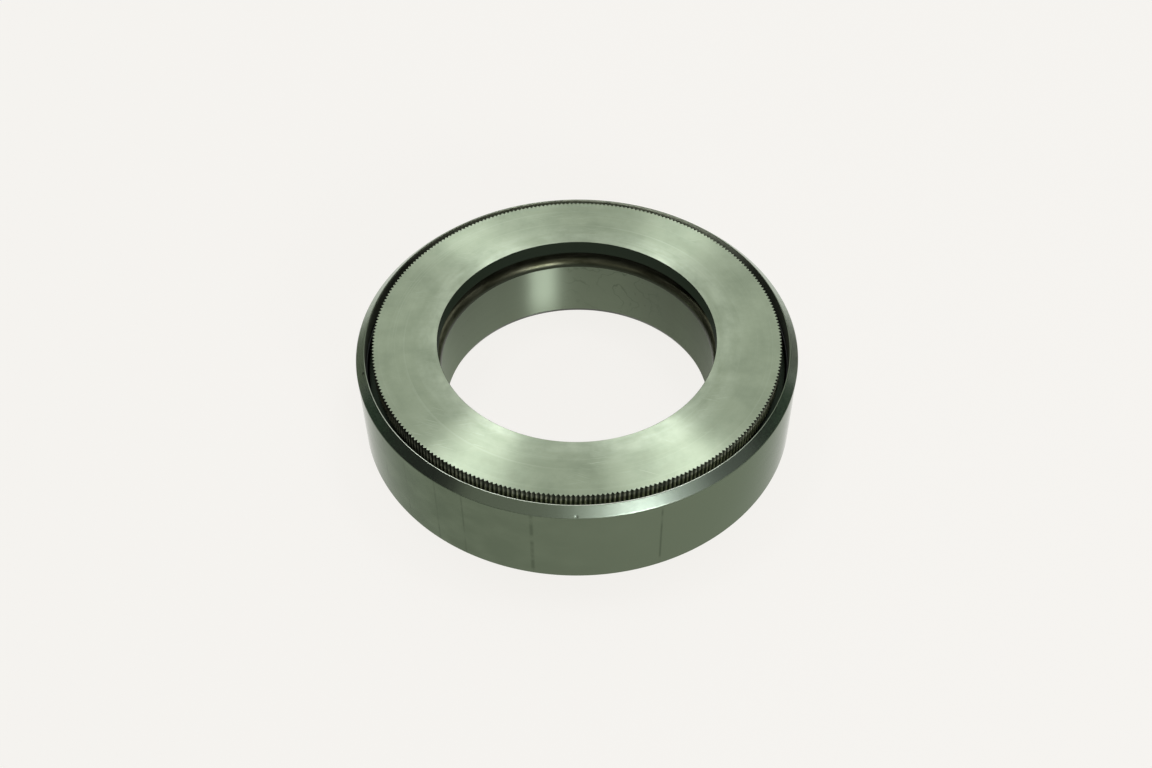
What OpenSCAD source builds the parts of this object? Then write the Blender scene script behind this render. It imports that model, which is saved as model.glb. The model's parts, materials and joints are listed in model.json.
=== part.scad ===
// Clutch release bearing: a ball thrust bearing with a channel-shaped housing ring and a
// thrust ring that turns inside its rim. The housing ring's bore sits on the release sleeve,
// and the clutch fingers press on the ground top face of the thrust ring.
// The bearing stands on the housing ring's underside, with its axis along Z.

/* [Housing ring] */
// Outside diameter of the housing ring
outer_d = 98; // [95:0.5:110]
// Diameter of the bore that sits on the release sleeve
bore_d = 61; // [55:0.5:63]
// Wall of the tall outer rim
rim_t = 2; // [1.6:0.1:3]
// Flat left on the top of the rim, inside its chamfer
rim_land = 0.1; // [0.1:0.1:0.8]
// Wall of the low inner lip
lip_t = 2.8; // [2.2:0.1:3.4]
// Rounding of the lip's top edge at the bore
lip_round = 1.6; // [0.8:0.1:1.8]
// Steel left under the lower raceway
floor_t = 5.5; // [4:0.25:9]
// Chamfer round the outer edge of the underside
base_chamfer = 0.5; // [0.2:0.1:1.2]
// Height of the lead-in for the sleeve at the foot of the bore
lead_in_h = 1; // [0.4:0.1:2]
// How far the lead-in opens the bore on each side
lead_in_w = 0.5; // [0.2:0.1:1]

/* [Thrust ring] */
// How much wider the thrust ring's bore is than the sleeve bore
ring_bore_relief = 0.8; // [0.4:0.1:2]
// Thickness of the thrust ring at its bore
flange_t = 3.4; // [2.5:0.1:4.5]
// Steel left over the upper raceway
crown_t = 7.275; // [5.5:0.025:9]
// Height of the thrust face above the rim
face_proud = 0.5; // [0.2:0.1:1.5]
// Chamfer on both edges of the thrust ring's bore
ring_edge = 0.2; // [0.1:0.1:0.6]

/* [Knurl] */
// Number of straight teeth around the thrust ring
knurl_teeth = 286; // [180:1:320]
// Depth of the teeth
knurl_depth = 0.5; // [0.2:0.05:0.7]
// Height of the knurled band
knurl_h = 4; // [2.5:0.25:5]

/* [Balls and cage] */
// Ball diameter over the width of the housing ring's channel
ball_share = 0.69526; // [0.6:0.00001:0.78]
// Least sheet left between neighbouring ball pockets, which sets the number of balls
pocket_web = 2.5; // [1.5:0.1:4]
// Raceway groove radius over ball diameter
osculation = 0.535; // [0.52:0.005:0.56]
// Raceway groove depth over ball diameter
groove_share = 0.21; // [0.15:0.01:0.25]
// Thickness of the cage's sheet
cage_sheet = 1; // [0.6:0.1:1.4]
// Sheet left outside each ball pocket
cage_side = 0.6; // [0.4:0.1:0.8]

/* [Retaining wire] */
// Diameter of the retaining wire
wire_d = 1.2; // [1:0.1:1.3]
// Depth of the wire's centre below the rim
wire_depth = 5; // [4.5:0.25:6]
// Opening between the wire's ends, in degrees
wire_opening = 8; // [4:1:20]

/* [Clearances] */
// Between a ball and the bottom of each raceway
race_play = 0.1; // [0.05:0.01:0.2]
// Between a ball and its pocket in the cage
pocket_play = 0.25; // [0.15:0.05:0.4]
// Between the cage and the flat lands beside each raceway
cage_gap = 0.5; // [0.3:0.05:0.9]
// Between the knurl's tips and the rim
rim_gap = 1.7; // [1.3:0.1:3]
// Between the thrust ring's shoulder and the rim
shoulder_gap = 0.3; // [0.2:0.05:0.4]
// Between the lip and the thrust ring's raceway body
lip_gap = 0.7; // [0.4:0.1:1.2]
// Opening between the lip's top and the thrust ring's flange
slot_h = 2.55; // [1.5:0.05:3.5]
// Between the wire and its seat in the rim
seat_play = 0.05; // [0.02:0.01:0.1]
// Between the wire and the shoulder that it holds down
wire_play = 0.3; // [0.2:0.05:0.5]

/* [Hidden] */
$fn = 96;

// Radii, from the axis outwards
bore_r = bore_d / 2;
ring_bore_r = (bore_d + ring_bore_relief) / 2;
channel_r = bore_r + lip_t;
hub_r = channel_r + lip_gap;
outer_r = outer_d / 2;
wall_r = outer_r - rim_t;
knurl_tip_r = wall_r - rim_gap;
knurl_root_r = knurl_tip_r - knurl_depth;
neck_relief = 0.2;
neck_r = knurl_root_r - neck_relief;
shoulder_r = wall_r - shoulder_gap;
pitch_r = (channel_r + wall_r) / 2;
ball_d = (wall_r - channel_r) * ball_share;
ball_r = ball_d / 2;
race_r = ball_d * osculation;
pocket_r = ball_r + pocket_play;
ball_count = floor(2 * PI * pitch_r / (2 * pocket_r + pocket_web));
cage_half_w = pocket_r + cage_side;
wire_r = wire_d / 2;

// Heights, from the underside upwards
groove_depth = ball_d * groove_share;
lower_land_z = floor_t + groove_depth;
ball_z = floor_t + race_play + ball_r;
upper_race_z = ball_z + ball_r + race_play;
upper_land_z = upper_race_z - groove_depth;
face_z = upper_race_z + crown_t;
flange_z = face_z - flange_t;
lip_z = flange_z - slot_h;
rim_z = face_z - face_proud;
rim_chamfer = rim_t - rim_land;
wire_z = rim_z - wire_depth;
shoulder_z = wire_z - wire_r - wire_play;
knurl_z = face_z - knurl_h;
cage_z = lower_land_z + cage_gap;
cage_h = upper_land_z - cage_gap - cage_z;

// Stock that a cutting shape runs past the surface that it cuts
overcut = 1;

ground_steel = [0.45, 0.49, 0.41];
face_steel = [0.57, 0.63, 0.53];
polished_steel = [0.78, 0.79, 0.78];
sheet_steel = [0.52, 0.50, 0.46];
spring_steel = [0.20, 0.21, 0.20];

function ball_name(i) = str("ball_", i < 10 ? "0" : "", i);

// Places a shape at ball number i, with its own X axis pointing outwards
module at_ball(i) {
    rotate([0, 0, (i - 1) * 360 / ball_count])
        translate([pitch_r, 0, ball_z])
            children();
}

// What is cut from the lip's square top corner to leave it round
module lip_corner() {
    difference() {
        translate([bore_r - overcut, lip_z - lip_round])
            square([lip_round + overcut, lip_round + overcut]);
        translate([bore_r + lip_round, lip_z - lip_round])
            circle(r = lip_round);
    }
}

// One turned ring: bore with its lead-in, low inner lip, ball channel with its raceway, and tall outer rim
module housing_section() {
    difference() {
        polygon([
            [bore_r + lead_in_w, 0],
            [outer_r - base_chamfer, 0],
            [outer_r, base_chamfer],
            [outer_r, rim_z - rim_chamfer],
            [outer_r - rim_chamfer, rim_z],
            [wall_r, rim_z],
            [wall_r, lower_land_z],
            [channel_r, lower_land_z],
            [channel_r, lip_z],
            [bore_r, lip_z],
            [bore_r, lead_in_h]
        ]);
        lip_corner();
        translate([pitch_r, floor_t + race_r])
            circle(r = race_r);
        translate([wall_r, wire_z])
            circle(r = wire_r + seat_play);
    }
}

module housing_ring() {
    color(ground_steel)
        rotate_extrude()
            housing_section();
}

// The blank of the thrust ring: its rim is left wide, and the knurl is cut from it
module thrust_section() {
    difference() {
        polygon([
            [ring_bore_r, face_z - ring_edge],
            [ring_bore_r, flange_z + ring_edge],
            [ring_bore_r + ring_edge, flange_z],
            [hub_r, flange_z],
            [hub_r, upper_land_z],
            [shoulder_r, upper_land_z],
            [shoulder_r, shoulder_z],
            [neck_r, shoulder_z],
            [neck_r, knurl_z],
            [knurl_tip_r + overcut, knurl_z],
            [knurl_tip_r + overcut, face_z],
            [ring_bore_r + ring_edge, face_z]
        ]);
        translate([pitch_r, upper_race_z - race_r])
            circle(r = race_r);
    }
}

// Outline of the knurl: one tip and one root for each straight tooth
module knurl_outline() {
    polygon([
        for (i = [0:2 * knurl_teeth - 1])
            let (r = i % 2 == 0 ? knurl_tip_r : knurl_root_r, a = i * 180 / knurl_teeth)
                [r * cos(a), r * sin(a)]
    ]);
}

module thrust_ring() {
    color(face_steel)
        difference() {
            rotate_extrude()
                thrust_section();
            translate([0, 0, knurl_z - neck_relief])
                linear_extrude(height = knurl_h + neck_relief + overcut)
                    difference() {
                        circle(r = knurl_tip_r + 2 * overcut);
                        knurl_outline();
                    }
        }
}

// A channel of pressed sheet, open downwards, that sits over the balls
module cage_section() {
    translate([pitch_r, cage_z])
        polygon([
            [-cage_half_w, 0],
            [cage_sheet - cage_half_w, 0],
            [cage_sheet - cage_half_w, cage_h - cage_sheet],
            [cage_half_w - cage_sheet, cage_h - cage_sheet],
            [cage_half_w - cage_sheet, 0],
            [cage_half_w, 0],
            [cage_half_w, cage_h],
            [-cage_half_w, cage_h]
        ]);
}

module ball_cage() {
    color(sheet_steel)
        difference() {
            rotate_extrude()
                cage_section();
            for (i = [1:ball_count])
                at_ball(i)
                    sphere(r = pocket_r);
        }
}

module ball(i) {
    color(polished_steel)
        at_ball(i)
            sphere(d = ball_d);
}

// An open spring ring, half sunk in the rim, that keeps the thrust ring from lifting off
module retaining_wire() {
    color(spring_steel)
        rotate([0, 0, 90 + wire_opening / 2])
            rotate_extrude(angle = 360 - wire_opening)
                translate([wall_r, wire_z])
                    circle(r = wire_r);
}

housing_ring();
thrust_ring();
ball_cage();
retaining_wire();
for (i = [1:ball_count])
    ball(i);
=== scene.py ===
"""Looks of a clutch release bearing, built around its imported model.

The two turned rings are made again as fine meshes: one narrow sector each, which a node tree repeats
around the axis. The balls, their cage and the retaining wire keep their solids and get finishes.
"""

import json
import math
from collections import namedtuple

import bpy
from bpy.props import FloatProperty, FloatVectorProperty, IntProperty, PointerProperty
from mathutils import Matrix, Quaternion, Vector


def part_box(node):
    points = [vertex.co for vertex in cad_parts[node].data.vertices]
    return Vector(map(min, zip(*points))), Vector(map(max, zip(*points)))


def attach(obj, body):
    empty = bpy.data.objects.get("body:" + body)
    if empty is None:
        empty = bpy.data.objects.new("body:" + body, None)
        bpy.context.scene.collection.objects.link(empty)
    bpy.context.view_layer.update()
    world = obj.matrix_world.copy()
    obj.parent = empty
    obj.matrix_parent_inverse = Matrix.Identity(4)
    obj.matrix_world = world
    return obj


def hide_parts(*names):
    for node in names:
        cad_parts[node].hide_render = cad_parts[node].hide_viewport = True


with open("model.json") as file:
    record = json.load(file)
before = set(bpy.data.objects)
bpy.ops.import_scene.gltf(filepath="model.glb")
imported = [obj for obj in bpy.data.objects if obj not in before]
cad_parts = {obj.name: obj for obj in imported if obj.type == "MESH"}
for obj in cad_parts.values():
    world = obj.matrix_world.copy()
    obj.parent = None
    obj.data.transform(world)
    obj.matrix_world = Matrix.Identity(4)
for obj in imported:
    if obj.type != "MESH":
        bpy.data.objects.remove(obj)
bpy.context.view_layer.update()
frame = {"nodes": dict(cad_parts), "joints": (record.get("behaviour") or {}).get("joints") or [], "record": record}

bl_info = {
    "name": "Clutch release bearing",
    "version": (1, 0, 0),
    "blender": (4, 5, 0),
    "location": "View3D > Sidebar > Bearing",
    "description": "Turned rings, finishes and studio of a clutch release bearing",
    "category": "Mesh",
}

MM = 0.001

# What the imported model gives
HOUSING_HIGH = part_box("housing_ring")[1]
THRUST_LOW, THRUST_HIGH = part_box("thrust_ring")
BALL_LOW, BALL_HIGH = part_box("ball_01")
WIRE_LOW, WIRE_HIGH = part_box("retaining_wire")
SLEEVE_BORE = next(m for m in frame["record"]["mounts"] if m["name"] == "sleeve_bore")
BALL_PLACE = next(j for j in frame["joints"] if j["name"] == "ball_01_roll")["pos_m"]
BALL_NAMES = sorted(n for n in frame["nodes"] if n.startswith("ball_") and n != "ball_cage")
BALL_R = (BALL_HIGH.z - BALL_LOW.z) / 2
PITCH_R = math.hypot(BALL_PLACE[0], BALL_PLACE[1])

# How finely the turned meshes are cut
ARC_STEPS = 3
RACE_STEPS = 16
SEAT_STEPS = 8
LIP_STEPS = 10
CHAMFER_STEPS = 6
HOUSING_SECTORS = 360
WELD = 0.002 * MM
SHARP_ANGLE = math.radians(35)
# A held point stands this far from a broken corner, or this share along a short stretch
HOLD = 0.2 * MM
HOLD_SHARE = 0.1
# Half the flat on a tooth's crest, as a share of the knurl's pitch
CREST_HALF = 0.05

# The stage, in metres; a lamp's radiance is 1 for paper white
CAMERA_PLACE = Vector((0, -0.2156, 0.24087))
CAMERA_AIM = Vector((-0.00028, 0.00597, 0))
CAMERA_ROLL = math.radians(-0.51)
CAMERA_LENS = 43.25
CAMERA_NEAR = 0.01
SWEEP_SIZE = 6
PAPER_GLOW = 0.93
ROOM_LEVEL = 0.035
CARD_HEIGHT = 0.04
Card = namedtuple("Card", "x near far tone")
CARDS = [
    Card(-0.115, -0.3, 0.015, "#354737"),
    Card(-0.1, 0.015, 0.62, "#777B6A"),
    Card(0.115, -0.3, 0.022, "#526555"),
    Card(0.1, 0.022, 0.62, "#989690"),
]
# Watts that a flat lamp needs for each square metre at a radiance of 1
LAMP_POWER = 4
COOL = (0.94, 0.93, 1)
WARM = (1, 1, 0.84)
Lamp = namedtuple("Lamp", "name direction distance width height radiance tint", defaults=((1, 1, 1),))
LAMPS = [
    Lamp("rear_panel", (0.04, 0.75, 0.66), 0.9, 1.6, 1.0, 0.72),
    Lamp("top_panel", (0, 0.05, 1), 1.0, 0.5, 1.0, 0.5),
    Lamp("left_box", (-0.305, 0.25, 0.93), 0.8, 0.28, 0.16, 7, COOL),
    Lamp("right_box", (0.305, 0.25, 0.93), 0.8, 0.28, 0.16, 7, COOL),
    Lamp("key_box", (0.40, -0.82, 0.36), 0.8, 0.26, 0.16, 23, COOL),
    Lamp("front_box", (0.38, -0.67, 0.6), 0.8, 0.75, 0.3, 0.28),
    Lamp("front_fill", (-0.25, -0.8, 0.58), 1.0, 1.25, 0.5, 0.175, WARM),
    Lamp("side_fill", (0.81, -0.35, 0.47), 0.8, 0.5, 0.3, 0.1),
]

# Upright marks on the outer wall: angle about the axis and half width, in degrees
UPRIGHT_MARKS = [
    (32, 0.4), (118, 0.5), (213, 0.5), (222.5, 0.35), (233, 0.35), (241, 0.3), (258.8, 0.6), (290.3, 0.35)]
# The middle of each side that is painted lighter or darker for how the light falls there, and of the side that the
# bore's tide marks keep to, as an angle about the axis in degrees
WALL_SHEEN_SIDE = 305
KNURL_LIT_SIDE = 285
RIM_HIGHLIGHT_SIDE = 258
RIM_INSIDE_LIT_SIDE = 88
BORE_SHADE_SIDE = 0
STAINED_SIDE = 62
# Nicks in the chamfer: angle in degrees, radius, height, and 1 where old oil fills the nick
Nick = namedtuple("Nick", "angle r z filled")
NICKS = [Nick(269.6, 48.72 * MM, 20.4 * MM, 0), Nick(192.5, 47.5 * MM, 21.6 * MM, 1)]
NICK_SIZE = 0.45 * MM
# Fine marks up the chamfer; their depth and the nicks' are counted in bump steps
MARK_PITCH = 0.9 * MM
MARK_DEPTH = 0.3
NICK_DEPTH = 80
BUMP_STEP = 0.02 * MM
# The release fingers rub the face brighter from one radius in to the other
RUBBED_FROM_R = 38 * MM
RUBBED_TO_R = 31 * MM
# How far down the knurl its painted light grows, towards the foot that the rim shades
KNURL_FILL_DEPTH = 2 * MM
# A quarter turn lays an anisotropic gloss around the axis
LAY_AROUND = 0.25

# Where the colour sockets of a Mix node stand
MIX_A, MIX_B, MIX_OUT = 6, 7, 2


def linear(hex_code):
    """Linear red, green and blue of an sRGB hex colour."""
    parts = [int(hex_code[i:i + 2], 16) / 255 for i in (1, 3, 5)]
    return tuple(p / 12.92 if p <= 0.04045 else ((p + 0.055) / 1.055) ** 2.4 for p in parts)


def length(name, description, default):
    """A size in metres."""
    return FloatProperty(name=name, description=description, default=default, min=0, unit="LENGTH",
                         precision=5)


def colour(name, description, hex_code):
    """A colour, given as it looks on a screen."""
    return FloatVectorProperty(name=name, description=description, default=linear(hex_code), size=3,
                               min=0, max=1, subtype="COLOR")


class HousingSizes(bpy.types.PropertyGroup):
    outer_r: length("Outside radius", "Radius of the outer wall", HOUSING_HIGH.x)
    bore_r: length("Bore radius", "Radius of the bore on the release sleeve",
                   SLEEVE_BORE["dims"]["r_mm"] * MM)
    rim_wall: length("Rim wall", "Wall of the tall outer rim", 2 * MM)
    rim_chamfer: length("Rim chamfer", "Height of the bright chamfer round the rim", 1.9 * MM)
    rim_land: length("Rim land", "Flat left on the top of the rim, inside its chamfer", 0.15 * MM)
    rim_turn_in: length("Rim turn-in", "How far the rim's top leans in over the gap", 0.05 * MM)
    chamfer_round: length("Chamfer round", "Rounding of the edge where the chamfer meets the outer wall",
                          0.3 * MM)
    lip_wall: length("Lip wall", "Wall of the low inner lip", 2.8 * MM)
    lip_round: length("Lip round", "Rounding of the lip's top edge at the bore", 2.1 * MM)
    lip_z: length("Lip height", "Height of the lip's top", 17.05 * MM)
    land_z: length("Land height", "Height of the lands beside the lower raceway", 7.5 * MM)
    race_z: length("Raceway height", "Height of the lower raceway's bottom", 5.5 * MM)
    base_chamfer: length("Base chamfer", "Chamfer round the outer edge of the underside", 0.5 * MM)
    lead_in_h: length("Lead-in height", "Height of the lead-in at the foot of the bore", 1 * MM)
    lead_in_w: length("Lead-in width", "How far the lead-in opens the bore on each side", 0.5 * MM)
    rim_inside_h: length("Rim inside", "Height of the dull band inside the rim's top", 4 * MM)
    seat_play: length("Wire play", "Between the retaining wire and its seat", 0.05 * MM)
    edge_break: length("Edge break", "Rounding left on the turned edges", 0.12 * MM)
    rim_break: length("Rim edge break", "Rounding left on the two edges of the rim's top", 0.06 * MM)


class ThrustSizes(bpy.types.PropertyGroup):
    bore_r: length("Bore radius", "Radius of the clearance bore", 30.9 * MM)
    flange_t: length("Flange", "Thickness of the ring at its bore", 3.4 * MM)
    hub_r: length("Hub radius", "Radius inside the raceway body", 34 * MM)
    neck_r: length("Neck radius", "Radius under the knurl", 44.6 * MM)
    shoulder_z: length("Shoulder height", "Height of the shoulder that the wire holds down", 16.1 * MM)
    race_z: length("Raceway height", "Height of the upper raceway's bottom", 15.225 * MM)
    tip_r: length("Tip radius", "Radius of the knurl's tips", 45.3 * MM)
    tooth_depth: length("Tooth depth", "Depth of the knurl", 0.5 * MM)
    knurl_h: length("Knurl height", "Height of the knurled band", 4 * MM)
    edge: length("Bore edge", "Chamfer on both edges of the bore", 0.1 * MM)
    edge_break: length("Edge break", "Rounding left on the face's edges", 0.08 * MM)
    teeth: IntProperty(name="Teeth", description="Straight teeth of the knurl", default=286, min=3)


class FinishColours(bpy.types.PropertyGroup):
    face: colour("Face", "Thrust face, ground in rings", "#A2AF96")
    face_rubbed: colour("Face, rubbed", "Thrust face where the fingers rub, and its scratches", "#B9C6AE")
    face_dull: colour("Face, dull", "Stains on the thrust face", "#9BA88F")
    face_blot: colour("Face, blot", "Soft dark blots left by handling on the thrust face", "#8B9881")
    wall: colour("Wall", "Ground outer wall", "#5A6553")
    # Also the painted sheen on one side of the outer wall, and the rim's top away from its painted highlight
    wall_pale_and_sheen: colour("Wall, pale", "Clouds left by handling on the outer wall, and worn edges", "#687360")
    wall_mark: colour("Wall, mark", "Upright marks on the outer wall", "#545E4D")
    chamfer: colour("Chamfer", "Bright chamfer of the rim", "#A0AF9D")
    # Painted highlight on the front of the rim's top
    rim: colour("Rim", "Rubbed top of the rim", "#CDD6C4")
    bore: colour("Bore", "Honed bore of the housing", "#86927D")
    # Painted shade on one side of the bore
    bore_shaded: colour("Bore, oiled", "Side of the bore where oil has run down", "#727C69")
    bore_mark: colour("Bore, mark", "Tide marks of dried oil in the bore", "#727D6A")
    tint: colour("Lip", "Heat tint on the lip", "#6F715B")
    tint_dark: colour("Lip, dark", "Burnt oil on the lip, and pits in the bore", "#474936")
    scale: colour("Scale", "Blackened steel under oil", "#252D25")
    scale_thin: colour("Scale, thin", "Where the black skin is thin", "#2D352B")
    # On the lip this colour darkens the round towards the edge of the bore
    root: colour("Root", "Old oil in the knurl's roots, in nicks and on the lip's round", "#363B2F")
    crest: colour("Crest", "Rubbed crests of the knurl", "#989C84")
    # The next two are the painted highlight inside the rim at its front and back, and the painted shade between
    turned: colour("Turned", "Dull turned steel inside the rim", "#DCE6C6")
    turned_shaded: colour("Turned, oiled", "The same steel where old oil lies on it", "#535A4A")
    cage: colour("Cage", "Pressed strip", "#85807A")
    wire: colour("Wire", "Drawn spring steel", "#333533")
    ball: colour("Ball", "Lapped balls", "#C7C9C7")
    paper: colour("Paper", "Pale sweep under the bearing", "#F6F4F0")


class BearingSettings(bpy.types.PropertyGroup):
    housing: PointerProperty(type=HousingSizes)
    thrust: PointerProperty(type=ThrustSizes)
    colours: PointerProperty(type=FinishColours)
    conformity: FloatProperty(name="Conformity", description="Raceway groove radius over ball diameter",
                              default=0.535, min=0.51, max=0.6, subtype="FACTOR")


# Node trees

def set_inputs(tree, target, inputs):
    """Sets a node's input sockets by name or number: a socket is linked, anything else is its value."""
    for key, value in inputs.items():
        if isinstance(value, bpy.types.NodeSocket):
            tree.links.new(value, target.inputs[key])
        else:
            target.inputs[key].default_value = value


def node(tree, kind, inputs=None, **settings):
    """Adds a node with its settings and inputs."""
    added = tree.nodes.new(kind)
    for name, value in settings.items():
        setattr(added, name, value)
    set_inputs(tree, added, inputs or {})
    return added


def new_finish(name):
    """A new material, with its tree and its shader."""
    material = bpy.data.materials.new(name)
    material.use_nodes = True
    return material, material.node_tree, material.node_tree.nodes["Principled BSDF"]


def rgba(settings_colour):
    """A settings colour as a socket value."""
    return (*settings_colour, 1)


def polar(tree):
    """Where a point lies about the axis: its direction from the axis, its radius and its height."""
    place = node(tree, "ShaderNodeTexCoord").outputs["Object"]
    flat = node(tree, "ShaderNodeVectorMath", {
        0: place, 1: (1, 1, 0)}, operation="MULTIPLY").outputs["Vector"]
    radius = node(tree, "ShaderNodeVectorMath", {0: flat}, operation="LENGTH").outputs["Value"]
    turn = node(tree, "ShaderNodeVectorMath", {0: flat}, operation="NORMALIZE").outputs["Vector"]
    height = node(tree, "ShaderNodeSeparateXYZ", {0: place}).outputs["Z"]
    return turn, radius, height


def facing(tree, angle, low, high, least=0):
    """Grows from its least value to 1 towards the side at this angle in degrees, between two cosines."""
    aim = (math.cos(math.radians(angle)), math.sin(math.radians(angle)), 0)
    along = node(tree, "ShaderNodeVectorMath", {0: polar(tree)[0], 1: aim}, operation="DOT_PRODUCT")
    return node(tree, "ShaderNodeMapRange", {
        "Value": along.outputs["Value"], "From Min": low, "From Max": high, "To Min": least}).outputs[0]


def lay(tree, around, across):
    """Noise coordinates on a turned surface, with cells this long around the axis and this wide across."""
    turn, radius, height = polar(tree)
    ring = node(tree, "ShaderNodeVectorMath", {
        0: turn, "Scale": PITCH_R / around}, operation="SCALE").outputs["Vector"]
    level = node(tree, "ShaderNodeMath", {0: radius, 1: height}, operation="ADD").outputs[0]
    step = node(tree, "ShaderNodeMath", {0: level, 1: across}, operation="DIVIDE").outputs[0]
    rise = node(tree, "ShaderNodeCombineXYZ", {"Z": step}).outputs[0]
    return node(tree, "ShaderNodeVectorMath", {0: ring, 1: rise}, operation="ADD").outputs["Vector"]


def tide_marks(tree, cell, patch):
    """A mask of thin wandering lines, as drying oil leaves: they bend within a cell and keep to patches."""
    place = node(tree, "ShaderNodeTexCoord").outputs["Object"]
    wander = node(tree, "ShaderNodeTexNoise", {"Vector": place, "Scale": 1 / cell, "Detail": 2})
    level = node(tree, "ShaderNodeMath", {0: wander.outputs[0], 1: 0.5}, operation="SUBTRACT")
    distance = node(tree, "ShaderNodeMath", {0: level.outputs[0]}, operation="ABSOLUTE")
    line = node(tree, "ShaderNodeMapRange", {"Value": distance.outputs[0], "From Min": 0.025, "From Max": 0})
    cover = node(tree, "ShaderNodeTexNoise", {"Vector": place, "Scale": 1 / patch, "Detail": 1})
    kept = node(tree, "ShaderNodeMapRange", {"Value": cover.outputs[0], "From Min": 0.4, "From Max": 0.52})
    marks = node(tree, "ShaderNodeMath", {0: line.outputs[0], 1: kept.outputs[0]}, operation="MULTIPLY")
    return marks.outputs[0]


def scratches(tree, reach, width, patch, angles):
    """A mask of fine straight scratches on a flat face, in patches and along these angles in degrees."""
    place = node(tree, "ShaderNodeTexCoord").outputs["Object"]
    mask = 0
    for angle in angles:
        c, s = math.cos(math.radians(angle)), math.sin(math.radians(angle))
        along = node(tree, "ShaderNodeVectorMath", {
            0: place, 1: (c / reach, s / reach, 0)}, operation="DOT_PRODUCT")
        across = node(tree, "ShaderNodeVectorMath", {
            0: place, 1: (-s / width, c / width, 0)}, operation="DOT_PRODUCT")
        cell = node(tree, "ShaderNodeCombineXYZ", {
            "X": along.outputs["Value"], "Y": across.outputs["Value"], "Z": angle})
        noise = node(tree, "ShaderNodeTexNoise", {"Vector": cell.outputs[0], "Scale": 1, "Detail": 0})
        line = node(tree, "ShaderNodeMapRange", {"Value": noise.outputs[0], "From Min": 0.7, "From Max": 0.9})
        mask = node(tree, "ShaderNodeMath", {0: mask, 1: line.outputs[0]}, operation="MAXIMUM").outputs[0]
    cover = node(tree, "ShaderNodeTexNoise", {"Vector": place, "Scale": 1 / patch, "Detail": 1})
    kept = node(tree, "ShaderNodeMapRange", {"Value": cover.outputs[0], "From Min": 0.45, "From Max": 0.7})
    return node(tree, "ShaderNodeMath", {0: mask, 1: kept.outputs[0]}, operation="MULTIPLY").outputs[0]


def ground_in_rings(colours):
    """Bearing steel, a flat face ground in rings."""
    # Bearing steel under a rotary grinder: fine rings, so a lamp opens into fans across the face
    material, tree, shader = new_finish("bearing_steel_face_ground_in_rings")
    place = node(tree, "ShaderNodeTexCoord").outputs["Object"]
    radius = polar(tree)[1]
    # The real rings are about 0.05 mm apart, drawn coarser here so that they show
    rings = node(tree, "ShaderNodeTexNoise", {
        "Vector": lay(tree, 90 * MM, 0.3 * MM), "Scale": 1, "Detail": 3})
    stains = node(tree, "ShaderNodeTexNoise", {"Vector": lay(tree, 14 * MM, 3 * MM), "Scale": 1, "Detail": 6})
    stained = node(tree, "ShaderNodeMapRange", {"Value": stains.outputs[0], "From Min": 0.4, "From Max": 0.7})
    blots = node(tree, "ShaderNodeTexNoise", {
        "Vector": place, "Scale": 1 / (7 * MM), "Detail": 5, "Roughness": 0.6})
    blotted = node(tree, "ShaderNodeMapRange", {"Value": blots.outputs[0], "From Min": 0.4, "From Max": 0.85})
    # The release fingers rub the face brighter towards the bore
    rubbed = node(tree, "ShaderNodeMapRange", {
        "Value": radius, "From Min": RUBBED_FROM_R, "From Max": RUBBED_TO_R})
    base = node(tree, "ShaderNodeMix", {
        0: rubbed.outputs[0], MIX_A: rgba(colours.face), MIX_B: rgba(colours.face_rubbed)}, data_type="RGBA")
    base = node(tree, "ShaderNodeMix", {
        0: stained.outputs[0], MIX_A: base.outputs[MIX_OUT], MIX_B: rgba(colours.face_dull)},
        data_type="RGBA")
    base = node(tree, "ShaderNodeMix", {
        0: blotted.outputs[0], MIX_A: base.outputs[MIX_OUT], MIX_B: rgba(colours.face_blot)},
        data_type="RGBA")
    base = node(tree, "ShaderNodeMix", {
        0: scratches(tree, 6 * MM, 0.25 * MM, 15 * MM, (10, 160)), MIX_A: base.outputs[MIX_OUT],
        MIX_B: rgba(colours.face_rubbed)}, data_type="RGBA")
    scored = node(tree, "ShaderNodeMapRange", {
        "Value": rings.outputs[0], "From Min": 0.6, "From Max": 0.85, "To Max": 0.6})
    base = node(tree, "ShaderNodeMix", {
        0: scored.outputs[0], MIX_A: base.outputs[MIX_OUT], MIX_B: rgba(colours.face_rubbed)},
        data_type="RGBA")
    rough = node(tree, "ShaderNodeMapRange", {"Value": rings.outputs[0], "To Min": 0.31, "To Max": 0.4})
    bump = node(tree, "ShaderNodeBump", {"Height": rings.outputs[0], "Strength": 0.05, "Distance": BUMP_STEP})
    tangent = node(tree, "ShaderNodeTangent", direction_type="RADIAL", axis="Z")
    set_inputs(tree, shader, {
        "Base Color": base.outputs[MIX_OUT], "Metallic": 1, "Roughness": rough.outputs[0],
        "Anisotropic": 0.97, "Anisotropic Rotation": LAY_AROUND, "Tangent": tangent.outputs[0],
        "Normal": bump.outputs[0]})
    return material


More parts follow.
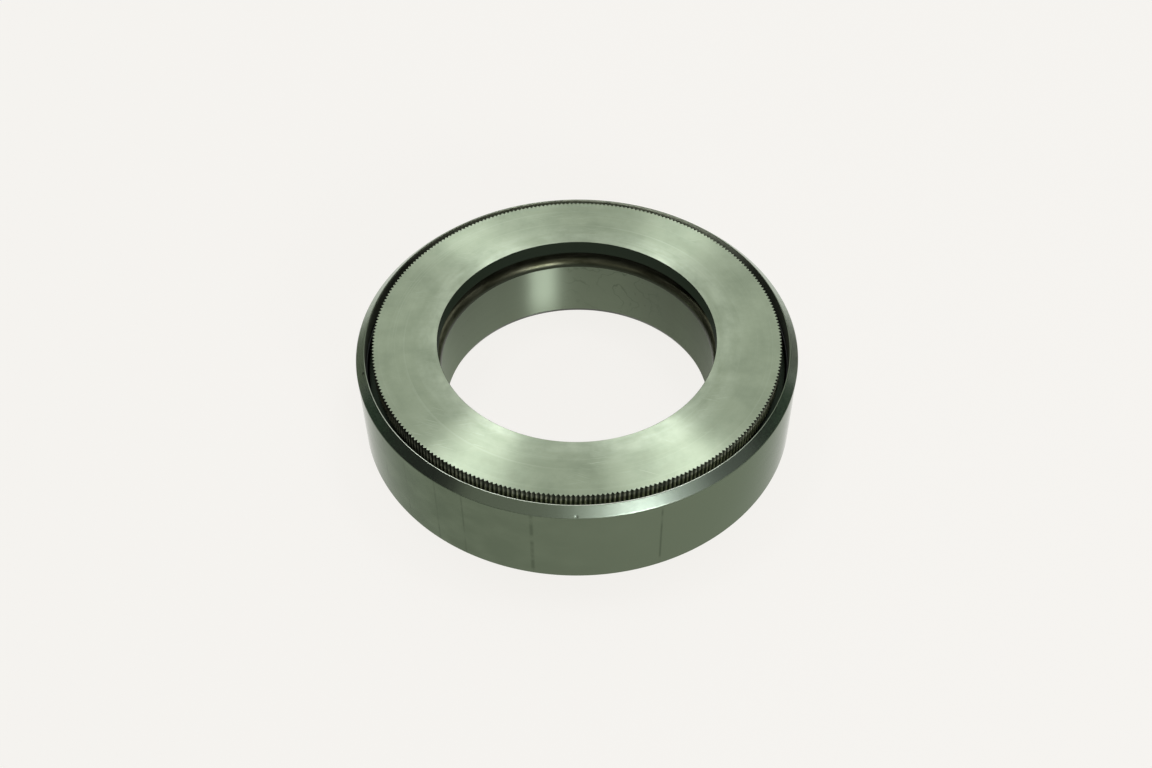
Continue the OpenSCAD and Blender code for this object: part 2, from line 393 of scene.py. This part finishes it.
def blackened_knurl(colours, sizes):
    """Bearing steel, knurled and blackened."""
    # Scale and old oil stay in the roots and look black, and the rubbed crests show as thin brown lines
    material, tree, shader = new_finish("bearing_steel_knurled_blackened")
    radius, height = polar(tree)[1:]
    crest = node(tree, "ShaderNodeMapRange", {
        "Value": radius, "From Min": sizes.tip_r - 0.5 * sizes.tooth_depth, "From Max": sizes.tip_r})
    grime = node(tree, "ShaderNodeTexNoise", {"Vector": lay(tree, 3 * MM, 1.5 * MM), "Scale": 1, "Detail": 3})
    worn = node(tree, "ShaderNodeMapRange", {"Value": grime.outputs[0], "From Min": 0.2, "From Max": 0.6})
    rubbed = node(tree, "ShaderNodeMath", {0: crest.outputs[0], 1: worn.outputs[0]}, operation="MULTIPLY")
    # Painted light and shade: the teeth are lighter on the front side, which the lamps light, and darker towards
    # the sides
    lit_side = facing(tree, KNURL_LIT_SIDE, 0.5, 0.9, 0.2)
    base = node(tree, "ShaderNodeMix", {
        0: rubbed.outputs[0], MIX_A: rgba(colours.root), MIX_B: rgba(colours.crest)}, data_type="RGBA")
    # Painted light: the teeth are darker at their top and lighter towards their foot, where the rim shades them
    depth = node(tree, "ShaderNodeMapRange", {
        "Value": height, "From Min": THRUST_HIGH.z, "From Max": THRUST_HIGH.z - KNURL_FILL_DEPTH,
        "To Min": 0.4, "To Max": 1.9})
    painted_shading = node(tree, "ShaderNodeMath", {0: depth.outputs[0], 1: lit_side}, operation="MULTIPLY")
    base = node(tree, "ShaderNodeVectorMath", {
        0: base.outputs[MIX_OUT], "Scale": painted_shading.outputs[0]}, operation="SCALE")
    set_inputs(tree, shader, {"Base Color": base.outputs[0], "Roughness": 0.75, "Specular IOR Level": 0.15})
    return material


def oiled_scale(colours):
    """Bearing steel, hardened and oiled."""
    # The black skin left by hardening, wet with oil: near black with a soft gleam
    material, tree, shader = new_finish("bearing_steel_hardened_oiled")
    mottle = node(tree, "ShaderNodeTexNoise", {
        "Vector": lay(tree, 6 * MM, 1.2 * MM), "Scale": 1, "Detail": 4})
    base = node(tree, "ShaderNodeMix", {
        0: mottle.outputs[0], MIX_A: rgba(colours.scale), MIX_B: rgba(colours.scale_thin)}, data_type="RGBA")
    rough = node(tree, "ShaderNodeMapRange", {"Value": mottle.outputs[0], "To Min": 0.3, "To Max": 0.5})
    set_inputs(tree, shader, {
        "Base Color": base.outputs[MIX_OUT], "Metallic": 1, "Roughness": rough.outputs[0],
        "Specular Tint": (0.5, 0.52, 0.5, 1)})
    return material


def ground_wall(colours):
    """Bearing steel, centreless ground."""
    # A satin ground wall, pale at the limbs and with a painted sheen on one side: clouded by handling, with a few
    # dark upright marks
    material, tree, shader = new_finish("bearing_steel_centreless_ground")
    # The real grinding lines are about 0.03 mm apart, drawn coarser here so that they show
    lines = node(tree, "ShaderNodeTexNoise", {
        "Vector": lay(tree, 60 * MM, 0.4 * MM), "Scale": 1, "Detail": 3})
    clouds = node(tree, "ShaderNodeTexNoise", {"Vector": lay(tree, 6 * MM, 5 * MM), "Scale": 1, "Detail": 5})
    clouded = node(tree, "ShaderNodeMapRange", {"Value": clouds.outputs[0], "From Min": 0.4, "From Max": 0.7})
    base = node(tree, "ShaderNodeMix", {
        0: clouded.outputs[0], MIX_A: rgba(colours.wall), MIX_B: rgba(colours.wall_pale_and_sheen)}, data_type="RGBA")
    # Painted sheen: a little paler on one side
    base = node(tree, "ShaderNodeMix", {
        0: facing(tree, WALL_SHEEN_SIDE, 0.3, 1), MIX_A: base.outputs[MIX_OUT], MIX_B: rgba(colours.wall_pale_and_sheen)},
        data_type="RGBA")
    marked = 0
    for angle, half_width in UPRIGHT_MARKS:
        mark = facing(tree, angle, math.cos(math.radians(half_width)), 1)
        marked = node(tree, "ShaderNodeMath", {0: marked, 1: mark}, operation="MAXIMUM").outputs[0]
    wear = node(tree, "ShaderNodeTexNoise", {"Vector": lay(tree, 8 * MM, 3 * MM), "Scale": 1, "Detail": 3})
    worn = node(tree, "ShaderNodeMapRange", {"Value": wear.outputs[0], "From Min": 0.35, "From Max": 0.55})
    marked = node(tree, "ShaderNodeMath", {0: marked, 1: worn.outputs[0]}, operation="MULTIPLY").outputs[0]
    base = node(tree, "ShaderNodeMix", {
        0: marked, MIX_A: base.outputs[MIX_OUT], MIX_B: rgba(colours.wall_mark)}, data_type="RGBA")
    rough = node(tree, "ShaderNodeMapRange", {"Value": lines.outputs[0], "To Min": 0.2, "To Max": 0.3})
    set_inputs(tree, shader, {
        "Base Color": base.outputs[MIX_OUT], "Metallic": 1, "Roughness": rough.outputs[0],
        "Specular Tint": (0.65, 0.7, 0.64, 1), "Coat Weight": 1, "Coat Roughness": 0.08, "Coat IOR": 1.06})
    return material


def bright_chamfer(colours):
    """Bearing steel, chamfer ground bright."""
    # A bright cone with fine marks that run straight up it and two nicks, one dark with old oil
    material, tree, shader = new_finish("bearing_steel_chamfer_ground_bright")
    place = node(tree, "ShaderNodeTexCoord").outputs["Object"]
    flat = node(tree, "ShaderNodeSeparateXYZ", {0: polar(tree)[0]})
    angle = node(tree, "ShaderNodeMath", {0: flat.outputs["Y"], 1: flat.outputs["X"]}, operation="ARCTAN2")
    around = node(tree, "ShaderNodeMath", {
        0: angle.outputs[0], 1: HOUSING_HIGH.x / MARK_PITCH}, operation="MULTIPLY")
    marks = node(tree, "ShaderNodeTexNoise", {
        "W": around.outputs[0], "Scale": 1, "Detail": 2}, noise_dimensions="1D")
    rough = node(tree, "ShaderNodeMapRange", {"Value": marks.outputs[0], "To Min": 0.222, "To Max": 0.268})
    relief = node(tree, "ShaderNodeMath", {
        0: marks.outputs[0], 1: MARK_DEPTH}, operation="MULTIPLY").outputs[0]
    grime = 0
    for nick in NICKS:
        turn = math.radians(nick.angle)
        spot = (nick.r * math.cos(turn), nick.r * math.sin(turn), nick.z)
        away = node(tree, "ShaderNodeVectorMath", {0: place, 1: spot}, operation="DISTANCE")
        dent = node(tree, "ShaderNodeMapRange", {
            "Value": away.outputs["Value"], "From Min": NICK_SIZE, "From Max": 0, "To Max": NICK_DEPTH})
        relief = node(tree, "ShaderNodeMath", {
            0: relief, 1: dent.outputs[0]}, operation="SUBTRACT").outputs[0]
        oil = node(tree, "ShaderNodeMapRange", {
            "Value": away.outputs["Value"], "From Min": NICK_SIZE, "From Max": 0.5 * NICK_SIZE,
            "To Max": nick.filled})
        grime = node(tree, "ShaderNodeMath", {0: grime, 1: oil.outputs[0]}, operation="MAXIMUM").outputs[0]
    base = node(tree, "ShaderNodeMix", {
        0: grime, MIX_A: rgba(colours.chamfer), MIX_B: rgba(colours.root)}, data_type="RGBA")
    bump = node(tree, "ShaderNodeBump", {"Height": relief, "Strength": 0.1, "Distance": BUMP_STEP})
    set_inputs(tree, shader, {
        "Base Color": base.outputs[MIX_OUT], "Metallic": 1, "Roughness": rough.outputs[0],
        "Normal": bump.outputs[0]})
    return material


def honed_bore(colours):
    """Bearing steel, bore honed."""
    # Honed around the axis, so a lamp draws one upright streak: a dull mirror with tide marks and pits
    material, tree, shader = new_finish("bearing_steel_bore_honed")
    place = node(tree, "ShaderNodeTexCoord").outputs["Object"]
    lines = node(tree, "ShaderNodeTexNoise", {
        "Vector": lay(tree, 50 * MM, 0.35 * MM), "Scale": 1, "Detail": 3})
    rough = node(tree, "ShaderNodeMapRange", {"Value": lines.outputs[0], "To Min": 0.38, "To Max": 0.46})
    # Painted shade: one side of the bore is darkened
    base = node(tree, "ShaderNodeMix", {
        0: facing(tree, BORE_SHADE_SIDE, 0.35, 0.75), MIX_A: rgba(colours.bore), MIX_B: rgba(colours.bore_shaded)},
        data_type="RGBA")
    stained = node(tree, "ShaderNodeMath", {
        0: tide_marks(tree, 5 * MM, 16 * MM), 1: facing(tree, STAINED_SIDE, 0.8, 0.93)}, operation="MULTIPLY")
    base = node(tree, "ShaderNodeMix", {
        0: stained.outputs[0], MIX_A: base.outputs[MIX_OUT], MIX_B: rgba(colours.bore_mark)},
        data_type="RGBA")
    pits = node(tree, "ShaderNodeTexNoise", {"Vector": place, "Scale": 1 / (0.7 * MM), "Detail": 1})
    pitted = node(tree, "ShaderNodeMapRange", {"Value": pits.outputs[0], "From Min": 0.76, "From Max": 0.9})
    base = node(tree, "ShaderNodeMix", {
        0: pitted.outputs[0], MIX_A: base.outputs[MIX_OUT], MIX_B: rgba(colours.tint_dark)}, data_type="RGBA")
    tangent = node(tree, "ShaderNodeTangent", direction_type="RADIAL", axis="Z")
    set_inputs(tree, shader, {
        "Base Color": base.outputs[MIX_OUT], "Metallic": 1, "Roughness": rough.outputs[0], "Anisotropic": 1,
        "Anisotropic Rotation": LAY_AROUND, "Tangent": tangent.outputs[0]})
    return material


def heat_tinted_lip(colours, sizes):
    """Bearing steel, heat tinted."""
    # Brown tint and burnt oil in patches over a turned round, so the bore's streak runs on as a glint
    material, tree, shader = new_finish("bearing_steel_heat_tinted")
    patches = node(tree, "ShaderNodeTexNoise", {"Vector": lay(tree, 9 * MM, 2 * MM), "Scale": 1, "Detail": 3})
    spread = node(tree, "ShaderNodeMapRange", {
        "Value": patches.outputs[0], "From Min": 0.35, "From Max": 0.62})
    base = node(tree, "ShaderNodeMix", {
        0: spread.outputs[0], MIX_A: rgba(colours.tint), MIX_B: rgba(colours.tint_dark)}, data_type="RGBA")
    # The round is darker towards the edge of the bore
    darkened_low = node(tree, "ShaderNodeMapRange", {
        "Value": polar(tree)[2], "From Min": sizes.lip_z - 0.4 * sizes.lip_round,
        "From Max": sizes.lip_z - 0.75 * sizes.lip_round})
    base = node(tree, "ShaderNodeMix", {
        0: darkened_low.outputs[0], MIX_A: base.outputs[MIX_OUT], MIX_B: rgba(colours.root)}, data_type="RGBA")
    rough = node(tree, "ShaderNodeMapRange", {"Value": patches.outputs[0], "To Min": 0.3, "To Max": 0.36})
    tangent = node(tree, "ShaderNodeTangent", direction_type="RADIAL", axis="Z")
    set_inputs(tree, shader, {
        "Base Color": base.outputs[MIX_OUT], "Metallic": 0.85, "Roughness": rough.outputs[0],
        "Specular IOR Level": 0.2, "Anisotropic": 0.5, "Anisotropic Rotation": LAY_AROUND,
        "Tangent": tangent.outputs[0]})
    return material


def rim_painted_highlight(colours):
    """Bearing steel, rim top with a painted highlight."""
    # The narrow top of the rim, with a painted highlight in front, where it draws a thin pale line
    material, tree, shader = new_finish("bearing_steel_rim_painted_highlight")
    base = node(tree, "ShaderNodeMix", {
        0: facing(tree, RIM_HIGHLIGHT_SIDE, 0.3, 0.8), MIX_A: rgba(colours.wall_pale_and_sheen), MIX_B: rgba(colours.rim)},
        data_type="RGBA")
    set_inputs(tree, shader, {"Base Color": base.outputs[MIX_OUT], "Metallic": 1, "Roughness": 0.3})
    return material


def dull_turned(colours):
    """Bearing steel, turned and phosphated."""
    # A dull skin inside the rim, with a painted highlight at the front and back and painted shade between
    material, tree, shader = new_finish("bearing_steel_turned_phosphated")
    grain = node(tree, "ShaderNodeTexNoise", {"Vector": lay(tree, 1 * MM, 0.6 * MM), "Scale": 1, "Detail": 3})
    dark = node(tree, "ShaderNodeMapRange", {"Value": grain.outputs[0], "From Min": 0.55, "From Max": 0.9})
    # Painted highlight at the front and back, painted shade between them
    back = facing(tree, RIM_INSIDE_LIT_SIDE, 0.5, 0.95)
    front = facing(tree, RIM_INSIDE_LIT_SIDE + 180, 0.15, 0.45)
    lit_inside = node(tree, "ShaderNodeMath", {0: back, 1: front}, operation="MAXIMUM")
    base = node(tree, "ShaderNodeMix", {
        0: lit_inside.outputs[0], MIX_A: rgba(colours.turned_shaded), MIX_B: rgba(colours.turned)},
        data_type="RGBA")
    base = node(tree, "ShaderNodeMix", {
        0: dark.outputs[0], MIX_A: base.outputs[MIX_OUT], MIX_B: rgba(colours.root)}, data_type="RGBA")
    set_inputs(tree, shader, {
        "Base Color": base.outputs[MIX_OUT], "Roughness": 0.7, "Specular IOR Level": 0.3})
    return material


def plain_steel(name, tone, roughness):
    """Steel with a faint mottle from handling and oil, for the running parts and the worn edge."""
    # Plain steel with an uneven film of oil, which makes its gleam patchy
    material, tree, shader = new_finish(name)
    place = node(tree, "ShaderNodeTexCoord").outputs["Object"]
    film = node(tree, "ShaderNodeTexNoise", {"Vector": place, "Scale": 1 / (4 * MM), "Detail": 3})
    rough = node(tree, "ShaderNodeMapRange", {
        "Value": film.outputs[0], "To Min": 0.7 * roughness, "To Max": 1.3 * roughness})
    set_inputs(tree, shader, {"Base Color": rgba(tone), "Metallic": 1, "Roughness": rough.outputs[0]})
    return material


# Turned meshes

Corner = namedtuple("Corner", "r z finish edge_break steps round_finish", defaults=(0, ARC_STEPS, None))


def arc(r, z, radius, start, end, steps, finish):
    """Corners along a round groove, between two angles in degrees."""
    angles = [math.radians(start + (end - start) * i / steps) for i in range(steps + 1)]
    return [Corner(r + radius * math.cos(a), z + radius * math.sin(a), finish) for a in angles]


def section(corners):
    """Points of a closed section, and the finish of the stretch that leaves each point.

    A broken corner becomes an arc with a held point on each side, so smooth shading stays flat beside it.
    """
    points, finishes = [], []
    for i, corner in enumerate(corners):
        here = Vector((corner.r, corner.z))
        if not corner.edge_break:
            points.append(here)
            finishes.append(corner.finish)
            continue
        before = corners[i - 1]
        after = corners[(i + 1) % len(corners)]
        into = here - Vector((before.r, before.z))
        out = Vector((after.r, after.z)) - here
        turn = math.atan2(into.x * out.y - into.y * out.x, into.dot(out))
        cut = corner.edge_break * math.tan(abs(turn) / 2)
        start = here - into.normalized() * cut
        side = Vector((-into.y, into.x)).normalized() * math.copysign(corner.edge_break, turn)
        swept = [start + side - Quaternion((0, 0, 1), turn * k / corner.steps).to_matrix().to_2x2() @ side
                 for k in range(corner.steps + 1)]
        points.append(start - into.normalized() * min(HOLD, HOLD_SHARE * into.length))
        points += swept
        points.append(swept[-1] + out.normalized() * min(HOLD, HOLD_SHARE * out.length))
        finishes.append(before.finish)
        finishes += [corner.round_finish or corner.finish] * corner.steps
        finishes += [corner.finish] * 2
    return points, finishes


def housing_section(sizes, conformity):
    """The housing ring's section: underside, outer wall, chamfer, channel with its raceway, lip and bore."""
    wall_r = sizes.outer_r - sizes.rim_wall
    rim_z = HOUSING_HIGH.z
    channel_r = sizes.bore_r + sizes.lip_wall
    race_r = 2 * BALL_R * conformity
    race_half = math.degrees(math.acos((sizes.race_z + race_r - sizes.land_z) / race_r))
    seat_z = (WIRE_LOW.z + WIRE_HIGH.z) / 2
    seat_r = (WIRE_HIGH.z - WIRE_LOW.z) / 2 + sizes.seat_play
    soft = sizes.edge_break
    rim = sizes.rim_break
    return section([
        Corner(sizes.bore_r + sizes.lead_in_w, 0, "seat", soft),
        Corner(sizes.outer_r - sizes.base_chamfer, 0, "wall", soft),
        Corner(sizes.outer_r, sizes.base_chamfer, "wall", soft),
        Corner(sizes.outer_r, rim_z - sizes.rim_chamfer, "chamfer",
               sizes.chamfer_round, CHAMFER_STEPS, "edge"),
        Corner(wall_r - sizes.rim_turn_in + sizes.rim_land, rim_z, "land", rim),
        Corner(wall_r - sizes.rim_turn_in, rim_z, "rim_inside", rim, ARC_STEPS, "land"),
        Corner(wall_r, rim_z - sizes.rim_inside_h, "channel"),
        *arc(wall_r, seat_z, seat_r, 90, -90, SEAT_STEPS, "channel"),
        Corner(wall_r, sizes.land_z, "channel"),
        *arc(PITCH_R, sizes.race_z + race_r, race_r, race_half - 90, -race_half - 90, RACE_STEPS, "channel"),
        Corner(channel_r, sizes.land_z, "channel"),
        Corner(channel_r, sizes.lip_z, "lip", soft),
        Corner(sizes.bore_r, sizes.lip_z, "bore", sizes.lip_round, LIP_STEPS, "lip"),
        Corner(sizes.bore_r, sizes.lead_in_h, "lip", soft),
    ])


def thrust_section(sizes, conformity, tooth_r):
    """The thrust ring's section where its knurl has this radius."""
    land_z = THRUST_LOW.z
    face_z = THRUST_HIGH.z
    race_r = 2 * BALL_R * conformity
    race_half = math.degrees(math.acos((land_z - sizes.race_z + race_r) / race_r))
    flange_z = face_z - sizes.flange_t
    knurl_z = face_z - sizes.knurl_h
    soft = sizes.edge_break
    return section([
        Corner(sizes.hub_r, land_z, "scale"),
        *arc(PITCH_R, sizes.race_z - race_r, race_r, 90 + race_half, 90 - race_half, RACE_STEPS, "scale"),
        Corner(THRUST_HIGH.x, land_z, "scale"),
        Corner(THRUST_HIGH.x, sizes.shoulder_z, "scale"),
        Corner(sizes.neck_r, sizes.shoulder_z, "scale"),
        Corner(sizes.neck_r, knurl_z, "knurl"),
        Corner(tooth_r, knurl_z, "knurl"),
        Corner(tooth_r, face_z, "face", soft, ARC_STEPS, "knurl"),
        Corner(sizes.bore_r + sizes.edge, face_z, "scale", soft, ARC_STEPS, "face"),
        Corner(sizes.bore_r, face_z - sizes.edge, "scale", soft),
        Corner(sizes.bore_r, flange_z + sizes.edge, "scale", soft),
        Corner(sizes.bore_r + sizes.edge, flange_z, "scale", soft),
        Corner(sizes.hub_r, flange_z, "scale"),
    ])


def sector_mesh(name, columns, finishes, names):
    """One sector of a ring, from columns of an angle and section points; a face keeps its finish's number."""
    points = [Vector((p.x * math.cos(a), p.x * math.sin(a), p.y)) for a, column in columns for p in column]
    around = len(finishes)
    faces, numbers = [], []
    for c in range(len(columns) - 1):
        for i in range(around):
            j = (i + 1) % around
            faces.append((c * around + i, (c + 1) * around + i, (c + 1) * around + j, c * around + j))
            numbers.append(names.index(finishes[i]))
    mesh = bpy.data.meshes.new(name)
    mesh.from_pydata(points, [], faces)
    mesh.attributes.new("finish", "INT", "FACE").data.foreach_set("value", numbers)
    mesh.shade_smooth()
    return mesh


def ring_tree(names):
    """Node tree that repeats a sector around the axis, welds the copies and sets each finish's material."""
    tree = bpy.data.node_groups.new("Turned ring", "GeometryNodeTree")
    tree.interface.new_socket("Sector", in_out="INPUT", socket_type="NodeSocketGeometry")
    tree.interface.new_socket("Sectors", in_out="INPUT", socket_type="NodeSocketInt")
    tree.interface.new_socket("Weld distance", in_out="INPUT", socket_type="NodeSocketFloat")
    for name in names:
        tree.interface.new_socket(name, in_out="INPUT", socket_type="NodeSocketMaterial")
    tree.interface.new_socket("Ring", in_out="OUTPUT", socket_type="NodeSocketGeometry")
    given = node(tree, "NodeGroupInput").outputs
    places = node(tree, "GeometryNodePoints", {"Count": given["Sectors"]})
    index = node(tree, "GeometryNodeInputIndex")
    step = node(tree, "ShaderNodeMath", {0: 2 * math.pi, 1: given["Sectors"]}, operation="DIVIDE")
    angle = node(tree, "ShaderNodeMath", {0: index.outputs[0], 1: step.outputs[0]}, operation="MULTIPLY")
    euler = node(tree, "ShaderNodeCombineXYZ", {"Z": angle.outputs[0]})
    turn = node(tree, "FunctionNodeEulerToRotation", {0: euler.outputs[0]})
    copies = node(tree, "GeometryNodeInstanceOnPoints", {
        "Points": places.outputs[0], "Instance": given["Sector"], "Rotation": turn.outputs[0]})
    whole = node(tree, "GeometryNodeRealizeInstances", {"Geometry": copies.outputs[0]})
    welded = node(tree, "GeometryNodeMergeByDistance", {
        "Geometry": whole.outputs[0], "Distance": given["Weld distance"]})
    number = node(tree, "GeometryNodeInputNamedAttribute", {"Name": "finish"}, data_type="INT")
    shape = welded.outputs[0]
    for i, name in enumerate(names):
        chosen = node(tree, "FunctionNodeCompare", {
            2: number.outputs[0], 3: i}, data_type="INT", operation="EQUAL")
        shape = node(tree, "GeometryNodeSetMaterial", {
            "Geometry": shape, "Selection": chosen.outputs[0], "Material": given[name]}).outputs[0]
    node(tree, "NodeGroupOutput", {"Ring": shape})
    return tree


def turned_ring(name, columns, finishes, sectors, materials):
    """A finished ring: its sector repeated all round, as a plain mesh."""
    names = list(materials)
    piece = bpy.data.objects.new(name, sector_mesh(name + "_sector", columns, finishes, names))
    bpy.context.scene.collection.objects.link(piece)
    modifier = piece.modifiers.new("Turned ring", "NODES")
    modifier.node_group = ring_tree(names)
    sockets = {s.name: s.identifier for s in modifier.node_group.interface.items_tree if s.in_out == "INPUT"}
    modifier[sockets["Sectors"]] = sectors
    modifier[sockets["Weld distance"]] = WELD
    for finish, material in materials.items():
        modifier[sockets[finish]] = material
    mesh = bpy.data.meshes.new_from_object(piece.evaluated_get(bpy.context.evaluated_depsgraph_get()))
    piece.modifiers.remove(modifier)
    piece.data = mesh
    mesh.name = name
    mesh.set_sharp_from_angle(angle=SHARP_ANGLE)
    return piece


# Operators

class BEARING_OT_housing_ring(bpy.types.Operator):
    """Turns the housing ring and finishes its surfaces"""
    bl_idname = "bearing.housing_ring"
    bl_label = "Housing ring"

    def execute(self, context):
        settings = context.scene.release_bearing
        points, finishes = housing_section(settings.housing, settings.conformity)
        columns = [(0, points), (2 * math.pi / HOUSING_SECTORS, points)]
        wall = ground_wall(settings.colours)
        piece = turned_ring("turned_housing_ring", columns, finishes, HOUSING_SECTORS, {
            "seat": wall,
            "wall": wall,
            "edge": plain_steel("bearing_steel_worn_edge", settings.colours.wall_pale_and_sheen, 0.6),
            "chamfer": bright_chamfer(settings.colours),
            "land": rim_painted_highlight(settings.colours),
            "rim_inside": dull_turned(settings.colours),
            "channel": oiled_scale(settings.colours),
            "lip": heat_tinted_lip(settings.colours, settings.housing),
            "bore": honed_bore(settings.colours),
        })
        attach(piece, "housing")
        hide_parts("housing_ring")
        return {"FINISHED"}


class BEARING_OT_thrust_ring(bpy.types.Operator):
    """Turns and knurls the thrust ring and finishes its surfaces"""
    bl_idname = "bearing.thrust_ring"
    bl_label = "Thrust ring"

    def execute(self, context):
        settings = context.scene.release_bearing
        sizes = settings.thrust
        pitch = 2 * math.pi / sizes.teeth
        root_r = sizes.tip_r - sizes.tooth_depth
        columns = []
        flanks = [(-0.5, root_r), (-CREST_HALF, sizes.tip_r), (CREST_HALF, sizes.tip_r), (0.5, root_r)]
        for share, tooth_r in flanks:
            points, finishes = thrust_section(sizes, settings.conformity, tooth_r)
            columns.append((share * pitch, points))
        piece = turned_ring("turned_thrust_ring", columns, finishes, sizes.teeth, {
            "face": ground_in_rings(settings.colours),
            "knurl": blackened_knurl(settings.colours, sizes),
            "scale": oiled_scale(settings.colours),
        })
        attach(piece, "thrust_ring")
        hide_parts("thrust_ring")
        return {"FINISHED"}


def dress(names, material):
    """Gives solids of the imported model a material."""
    for name in names:
        slots = frame["nodes"][name].data.materials
        slots.clear()
        slots.append(material)


class BEARING_OT_balls(bpy.types.Operator):
    """Finishes the balls"""
    bl_idname = "bearing.balls"
    bl_label = "Balls"

    def execute(self, context):
        colours = context.scene.release_bearing.colours
        dress(BALL_NAMES, plain_steel("ball_steel_lapped", colours.ball, 0.08))
        return {"FINISHED"}


class BEARING_OT_ball_cage(bpy.types.Operator):
    """Finishes the cage between the balls"""
    bl_idname = "bearing.ball_cage"
    bl_label = "Ball cage"

    def execute(self, context):
        colours = context.scene.release_bearing.colours
        dress(["ball_cage"], plain_steel("strip_steel_pressed", colours.cage, 0.35))
        return {"FINISHED"}


class BEARING_OT_retaining_wire(bpy.types.Operator):
    """Finishes the wire that holds the thrust ring down"""
    bl_idname = "bearing.retaining_wire"
    bl_label = "Retaining wire"

    def execute(self, context):
        colours = context.scene.release_bearing.colours
        dress(["retaining_wire"], plain_steel("spring_steel_drawn_oiled", colours.wire, 0.4))
        return {"FINISHED"}


# Stage

def matt_paper(tone):
    """Paper sweep, matt."""
    # Even pale paper: it glows a little under the shot, so that its shade stays faint
    material, tree, shader = new_finish("paper_sweep_matt")
    path = node(tree, "ShaderNodeLightPath").outputs
    seen = node(tree, "ShaderNodeMath", {0: path["Is Camera Ray"], 1: path["Is Glossy Ray"]}, operation="ADD")
    seen = node(tree, "ShaderNodeMath", {0: seen.outputs[0], 1: path["Is Transmission Ray"]}, operation="ADD",
                use_clamp=True)
    share = node(tree, "ShaderNodeMath", {0: seen.outputs[0], 1: PAPER_GLOW}, operation="MULTIPLY")
    glow = node(tree, "ShaderNodeEmission", {"Color": rgba(tone), "Strength": 1})
    matt = node(tree, "ShaderNodeBsdfDiffuse", {"Color": rgba(tone)})
    mixed = node(tree, "ShaderNodeMixShader", {0: share.outputs[0], 1: matt.outputs[0], 2: glow.outputs[0]})
    set_inputs(tree, tree.nodes["Material Output"], {"Surface": mixed.outputs[0]})
    tree.nodes.remove(shader)
    return material


def matt_card(tone):
    """Card, matt."""
    # Matt card beside the set, in the tone that the bright chamfer mirrors there
    material, tree, shader = new_finish("card_matt_dark")
    set_inputs(tree, shader, {"Base Color": rgba(linear(tone)), "Roughness": 0.9})
    return material


def stage_sheet(name, corners, material):
    """A flat sheet that belongs to the stage."""
    mesh = bpy.data.meshes.new(name)
    mesh.from_pydata(corners, [], [(0, 1, 2, 3)])
    mesh.materials.append(material)
    sheet = bpy.data.objects.new(name, mesh)
    bpy.context.scene.collection.objects.link(sheet)
    return sheet


def soft_box(lamp):
    """A flat lamp that faces the bearing and stays out of the shot."""
    data = bpy.data.lights.new(lamp.name, "AREA")
    data.shape = "RECTANGLE"
    data.size = lamp.width
    data.size_y = lamp.height
    data.color = lamp.tint
    data.energy = LAMP_POWER * lamp.width * lamp.height * lamp.radiance
    box = bpy.data.objects.new(lamp.name, data)
    box.location = Vector(lamp.direction).normalized() * lamp.distance
    box.rotation_mode = "QUATERNION"
    box.rotation_quaternion = Vector(lamp.direction).to_track_quat("Z", "Y")
    box.visible_camera = False
    bpy.context.scene.collection.objects.link(box)


class BEARING_OT_stage(bpy.types.Operator):
    """Sets the pale sweep, the lamps, the side cards and the camera"""
    bl_idname = "bearing.stage"
    bl_label = "Stage"

    def execute(self, context):
        scene = context.scene
        paper = scene.release_bearing.colours.paper
        scene.view_settings.view_transform = "Standard"
        scene.world = bpy.data.worlds.new("studio")
        scene.world.use_nodes = True
        set_inputs(scene.world.node_tree, scene.world.node_tree.nodes["Background"], {
            "Color": rgba(paper), "Strength": ROOM_LEVEL})
        half = SWEEP_SIZE / 2
        corners = [(-half, -half, 0), (half, -half, 0), (half, half, 0), (-half, half, 0)]
        stage_sheet("sweep", corners, matt_paper(paper))
        for card in CARDS:
            sheet = stage_sheet("side_card", [
                (card.x, card.near, 0), (card.x, card.far, 0),
                (card.x, card.far, CARD_HEIGHT), (card.x, card.near, CARD_HEIGHT)], matt_card(card.tone))
            sheet.visible_camera = False
            sheet.visible_diffuse = False
            sheet.visible_shadow = False
        for lamp in LAMPS:
            soft_box(lamp)
        data = bpy.data.cameras.new("camera")
        data.lens = CAMERA_LENS
        data.clip_start = CAMERA_NEAR
        scene.camera = bpy.data.objects.new("camera", data)
        scene.camera.location = CAMERA_PLACE
        scene.camera.rotation_mode = "QUATERNION"
        look = (CAMERA_AIM - CAMERA_PLACE).to_track_quat("-Z", "Y")
        scene.camera.rotation_quaternion = look @ Quaternion((0, 0, 1), CAMERA_ROLL)
        scene.collection.objects.link(scene.camera)
        return {"FINISHED"}


class BEARING_PT_bearing(bpy.types.Panel):
    """Sizes, colours and steps of the bearing"""
    bl_label = "Release bearing"
    bl_idname = "BEARING_PT_bearing"
    bl_space_type = "VIEW_3D"
    bl_region_type = "UI"
    bl_category = "Bearing"

    def draw(self, context):
        settings = context.scene.release_bearing
        for operator in OPERATORS:
            self.layout.operator(operator.bl_idname)
        self.layout.prop(settings, "conformity")
        for group in (settings.housing, settings.thrust, settings.colours):
            column = self.layout.column(align=True)
            for name in group.__annotations__:
                column.prop(group, name)


OPERATORS = (BEARING_OT_stage, BEARING_OT_housing_ring, BEARING_OT_thrust_ring, BEARING_OT_balls,
             BEARING_OT_ball_cage, BEARING_OT_retaining_wire)
CLASSES = (HousingSizes, ThrustSizes, FinishColours, BearingSettings, *OPERATORS, BEARING_PT_bearing)


def register():
    for item in CLASSES:
        bpy.utils.register_class(item)
    bpy.types.Scene.release_bearing = PointerProperty(type=BearingSettings)


def unregister():
    del bpy.types.Scene.release_bearing
    for item in reversed(CLASSES):
        bpy.utils.unregister_class(item)


def main():
    register()
    bpy.ops.bearing.stage()
    bpy.ops.bearing.housing_ring()
    bpy.ops.bearing.thrust_ring()
    bpy.ops.bearing.balls()
    bpy.ops.bearing.ball_cage()
    bpy.ops.bearing.retaining_wire()


if __name__ == "__main__":
    main()
